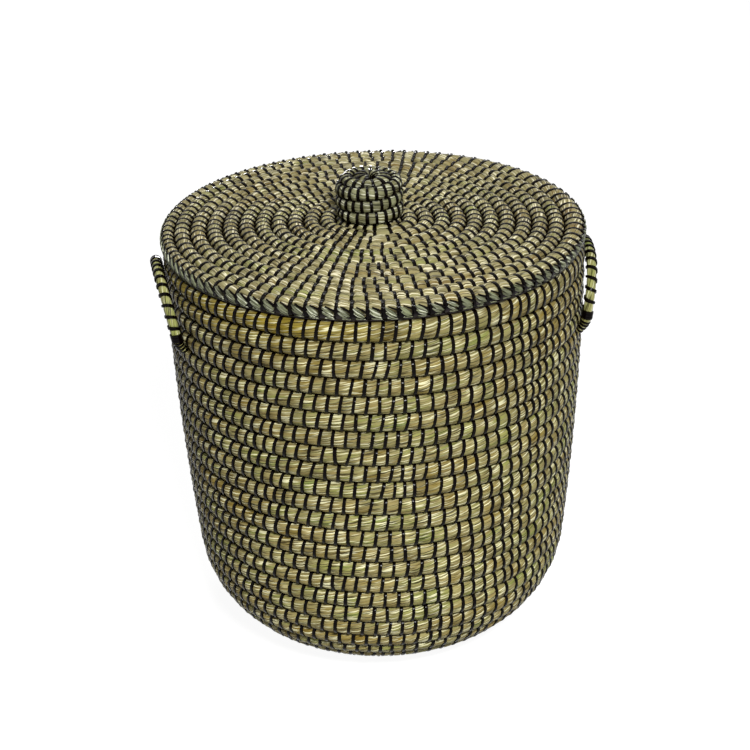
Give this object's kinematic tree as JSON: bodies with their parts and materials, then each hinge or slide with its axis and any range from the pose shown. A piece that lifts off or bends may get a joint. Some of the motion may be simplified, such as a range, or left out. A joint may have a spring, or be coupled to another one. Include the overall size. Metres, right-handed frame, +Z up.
{
  "type": "lidded basket",
  "caption": "Round coiled grass basket sewn with black strip, with a lift-off spiral lid and knob and a swinging loop handle on each side.",
  "frame": {"origin": "centre of the base, on the floor that the basket stands on", "axes": "+Z up along the axis of the basket, +Y to the back, and the handles on the -X and +X sides"},
  "size_m": [0.3635, 0.3468, 0.3968],
  "materials": {
    "grass": "satin",
    "lid_grass": "satin",
    "strip": "gloss"
  },
  "bodies": {
    "basket": {"base_coil": "grass", "wall_coil": "grass"},
    "lid": {"lid_coil": "lid_grass", "lid_border": "strip", "lid_locating_ring": "lid_grass", "knob_coil": "lid_grass"},
    "left_handle": {"left_handle_core": "grass", "left_handle_wrap": "strip", "left_front_lashing": "strip", "left_rear_lashing": "strip"},
    "right_handle": {"right_handle_core": "grass", "right_handle_wrap": "strip", "right_front_lashing": "strip", "right_rear_lashing": "strip"}
  },
  "joints": [
    {"name": "lid_lift", "type": "slide", "parent": "basket", "child": "lid", "axis": [0, 0, 1], "range_m": [0, 0.4]},
    {"name": "left_handle_swing", "type": "hinge", "parent": "basket", "child": "left_handle", "pos_m": [-0.1677, -0.01467, 0.29254], "axis": [0.0872, -0.9962, 0], "range_deg": [0, 50]},
    {"name": "right_handle_swing", "type": "hinge", "parent": "basket", "child": "right_handle", "pos_m": [0.16773, -0.01467, 0.28546], "axis": [0.0872, 0.9962, 0], "range_deg": [0, 50]}
  ]
}
